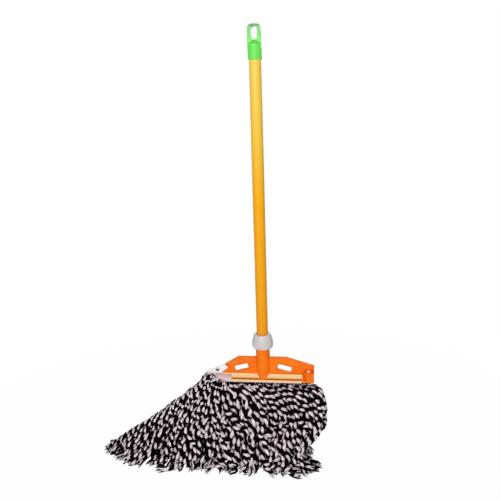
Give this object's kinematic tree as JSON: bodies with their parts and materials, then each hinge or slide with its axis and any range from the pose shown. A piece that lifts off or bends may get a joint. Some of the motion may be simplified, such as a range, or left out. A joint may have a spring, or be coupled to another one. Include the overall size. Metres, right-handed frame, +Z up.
{
  "type": "string mop",
  "caption": "String mop with a coated tube handle, a hinged two-jaw clamp with a latch, a lock nut, and a spread head of twisted two-tone yarn.",
  "frame": {"origin": "on the floor under the axis of the handle", "axes": "+Z up along the handle, +X along the clamp towards its hinge, +Y from the clamp's front to its back"},
  "size_m": [0.5317, 0.1735, 0.9464],
  "materials": {
    "green_cap": "satin",
    "orange_coat": "gloss",
    "plug_plastic": "matte",
    "pale_nut": "satin",
    "pale_collet": "matte",
    "orange_plastic": "satin",
    "pin_steel": "satin",
    "pale_latch": "satin",
    "band_cloth": "matte",
    "mop_yarn": "matte"
  },
  "bodies": {
    "clamp": {"front_jaw": "orange_plastic", "hinge_pin": "pin_steel", "pin_washer": "pin_steel", "headband": "band_cloth", "yarn_front_1": "mop_yarn", "yarn_front_2": "mop_yarn", "yarn_front_3": "mop_yarn", "yarn_front_4": "mop_yarn", "yarn_front_5": "mop_yarn", "yarn_front_6": "mop_yarn", "yarn_back_1": "mop_yarn", "yarn_back_2": "mop_yarn", "yarn_back_3": "mop_yarn", "yarn_back_4": "mop_yarn", "yarn_back_5": "mop_yarn", "yarn_back_6": "mop_yarn"},
    "gate": {"rear_jaw": "orange_plastic", "latch_pin": "pin_steel"},
    "latch": {"latch_tab": "pale_latch"},
    "nut": {"lock_nut": "pale_nut"},
    "collet": {"collet": "pale_collet"},
    "handle": {"handle_tube": "orange_coat", "tube_plug": "plug_plastic", "hang_cap": "green_cap"}
  },
  "joints": [
    {"name": "gate_swing", "type": "hinge", "parent": "clamp", "child": "gate", "pos_m": [0.101, -0.0095, 0.2013], "axis": [0, 0, -1], "range_deg": [0, 90]},
    {"name": "latch_swing", "type": "hinge", "parent": "gate", "child": "latch", "pos_m": [-0.103, -0.00195, 0.2083], "axis": [0, 0, -1], "range_deg": [0, 25]},
    {"name": "nut_turn", "type": "hinge", "parent": "clamp", "child": "nut", "pos_m": [0, 0, 0.2743], "axis": [0, 0, 1], "range_deg": [0, 300]},
    {"name": "collet_rise", "type": "slide", "parent": "clamp", "child": "collet", "axis": [0, 0, 1], "range_m": [0, 0.0015]},
    {"name": "handle_pull", "type": "slide", "parent": "clamp", "child": "handle", "axis": [0, 0, 1], "range_m": [0, 0.06]}
  ],
  "couplings": [
    {"joint": "collet_rise", "follows": "nut_turn", "m_per_rad": 0.00028648}
  ]
}
